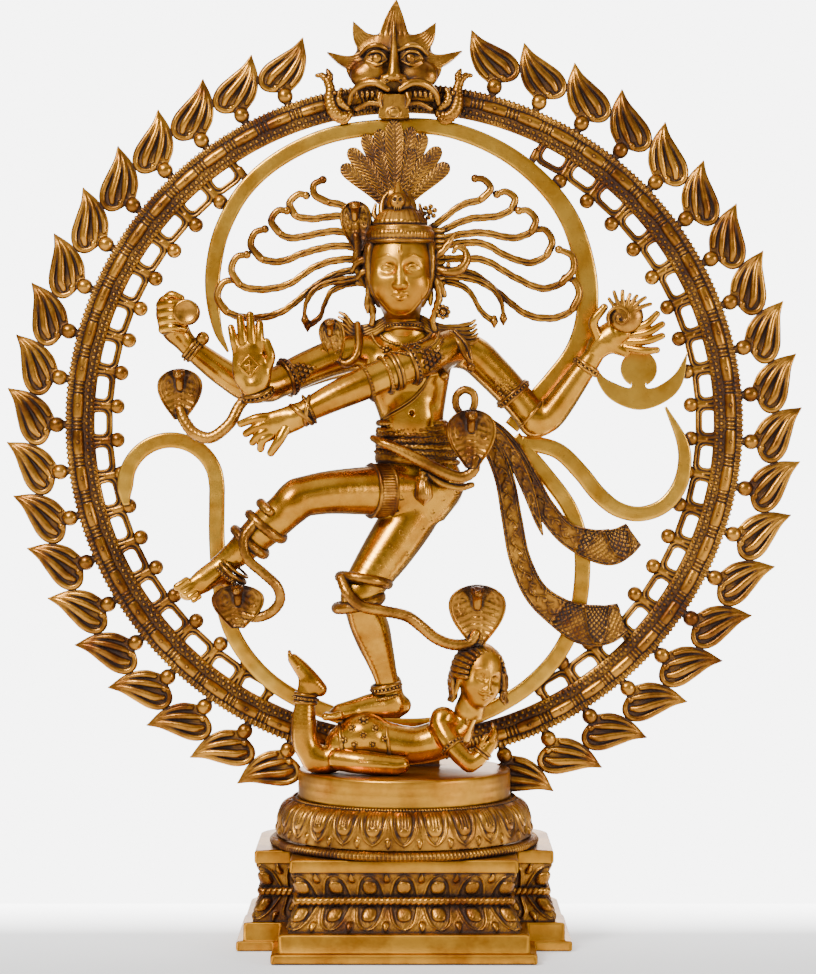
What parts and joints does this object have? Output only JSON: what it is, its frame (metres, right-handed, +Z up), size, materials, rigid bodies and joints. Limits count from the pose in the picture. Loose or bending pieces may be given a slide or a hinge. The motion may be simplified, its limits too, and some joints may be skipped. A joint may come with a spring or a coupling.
{
  "type": "nataraja statue",
  "caption": "Cast brass figure of a dancing four-armed deity in a round flame aureole with an open scroll, on a lotus drum and stepped plinth.",
  "frame": {"origin": "centre of the plinth's underside, on the surface the statue stands on", "axes": "+Z up, the figure faces -Y, +X to the right of somebody looking at its front"},
  "size_m": [0.6271, 0.212, 0.736],
  "materials": {
    "polished_brass": "buffed bright, warm lacquer",
    "antique_brass": "dark patina left in the carving, high points wiped bright",
    "plain_steel": "plain zinc-plated fasteners"
  },
  "bodies": {
    "root": {"drum_seat": "polished_brass", "plinth_cap": "polished_brass", "plinth_foot": "polished_brass", "om_upper_bowl": "polished_brass", "om_lower_bowl": "polished_brass", "om_tail": "polished_brass", "crescent_and_dot": "polished_brass", "torso": "polished_brass", "head": "polished_brass", "raised_leg": "polished_brass", "standing_leg": "polished_brass", "open_hand": "polished_brass", "front_left_arm": "polished_brass", "drum_arm": "polished_brass", "drum_hand": "polished_brass", "hanging_hand": "polished_brass", "crossing_arm": "polished_brass", "flame_hand": "polished_brass", "flame_arm": "polished_brass", "dwarf_body": "polished_brass", "dwarf_head": "polished_brass", "dwarf_raised_leg": "polished_brass", "dwarf_folded_leg": "polished_brass", "plinth_body": "antique_brass", "lotus_bell": "antique_brass", "aureole_left": "antique_brass", "aureole_right": "antique_brass", "aureole_foot": "antique_brass", "flames_left": "antique_brass", "flames_right": "antique_brass", "lattice_left": "antique_brass", "lattice_right": "antique_brass", "kirtimukha_mask": "antique_brass", "makara_scrolls": "antique_brass", "crown": "antique_brass", "feather_fan": "antique_brass", "hair_left": "antique_brass", "hair_right": "antique_brass", "ear_ornaments": "antique_brass", "head_cobra": "antique_brass", "necklace": "antique_brass", "damaru": "antique_brass", "flame_bowl": "antique_brass", "armlets": "antique_brass", "bracelets": "antique_brass", "waist_belts": "antique_brass", "anklets": "antique_brass", "thigh_band": "antique_brass", "arm_snake": "antique_brass", "shoulder_cobra": "antique_brass", "waist_snake": "antique_brass", "shin_snake": "antique_brass", "knee_snake": "antique_brass", "sash_upper": "antique_brass", "sash_lower": "antique_brass", "base_tie_bolts": "plain_steel", "base_tie_nuts": "plain_steel", "base_tie_washers": "plain_steel", "aureole_screws": "plain_steel"}
  },
  "joints": []
}
